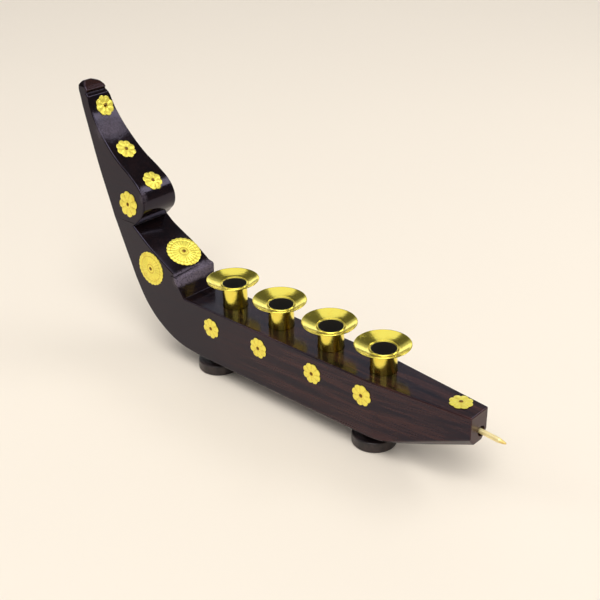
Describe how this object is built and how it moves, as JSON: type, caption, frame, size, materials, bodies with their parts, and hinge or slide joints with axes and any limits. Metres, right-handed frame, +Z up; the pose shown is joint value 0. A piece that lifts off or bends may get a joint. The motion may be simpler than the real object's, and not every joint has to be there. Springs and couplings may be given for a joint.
{
  "type": "incense burner",
  "caption": "Boat-shaped wooden incense and candle holder with a tall carved stern, flared brass cups in its deck, a brass bow spike and stamped brass rosettes.",
  "frame": {"origin": "on the table under the middle of the whole object's length and width", "axes": "+X from the stern to the bow, +Z up, and the side with the near rosettes faces -Y"},
  "size_m": [0.2974, 0.0315, 0.1568],
  "materials": {
    "rosewood": "dark rosewood under a glossy lacquer",
    "turned_wood": "dark turned wood, satin",
    "cup_brass": "polished spun brass",
    "rosette_brass": "bright stamped brass sheet",
    "tack_metal": "darkened brass",
    "spike_brass": "polished brass rod"
  },
  "bodies": {
    "stand": {"hull": "rosewood", "foot_stern": "turned_wood", "foot_bow": "turned_wood", "bow_spike": "spike_brass", "rosette_cap": "rosette_brass", "rosette_scoop": "rosette_brass", "rosette_lobe": "rosette_brass", "rosette_ramp": "rosette_brass", "rosette_bow": "rosette_brass", "rosette_curl_near": "rosette_brass", "rosette_curl_far": "rosette_brass", "rosette_haunch_near": "rosette_brass", "rosette_haunch_far": "rosette_brass", "rosette_side_1_near": "rosette_brass", "rosette_side_1_far": "rosette_brass", "rosette_side_2_near": "rosette_brass", "rosette_side_2_far": "rosette_brass", "rosette_side_3_near": "rosette_brass", "rosette_side_3_far": "rosette_brass", "rosette_side_4_near": "rosette_brass", "rosette_side_4_far": "rosette_brass", "tack_cap": "tack_metal", "tack_scoop": "tack_metal", "tack_lobe": "tack_metal", "tack_ramp": "tack_metal", "tack_bow": "tack_metal", "tack_curl_near": "tack_metal", "tack_curl_far": "tack_metal", "tack_haunch_near": "tack_metal", "tack_haunch_far": "tack_metal", "tack_side_1_near": "tack_metal", "tack_side_1_far": "tack_metal", "tack_side_2_near": "tack_metal", "tack_side_2_far": "tack_metal", "tack_side_3_near": "tack_metal", "tack_side_3_far": "tack_metal", "tack_side_4_near": "tack_metal", "tack_side_4_far": "tack_metal"},
    "cup_1": {"cup_1": "cup_brass"},
    "cup_2": {"cup_2": "cup_brass"},
    "cup_3": {"cup_3": "cup_brass"},
    "cup_4": {"cup_4": "cup_brass"}
  },
  "joints": [
    {"name": "cup_1_lift", "type": "slide", "parent": "stand", "child": "cup_1", "axis": [-0.0279, 0.0078, 0.9996], "range_m": [0, 0.03]},
    {"name": "cup_2_lift", "type": "slide", "parent": "stand", "child": "cup_2", "axis": [0.0087, -0.014, 0.9999], "range_m": [0, 0.03]},
    {"name": "cup_3_lift", "type": "slide", "parent": "stand", "child": "cup_3", "axis": [0, -0.0131, 0.9999], "range_m": [0, 0.03]},
    {"name": "cup_4_lift", "type": "slide", "parent": "stand", "child": "cup_4", "axis": [-0.0157, -0.0061, 0.9999], "range_m": [0, 0.03]}
  ]
}
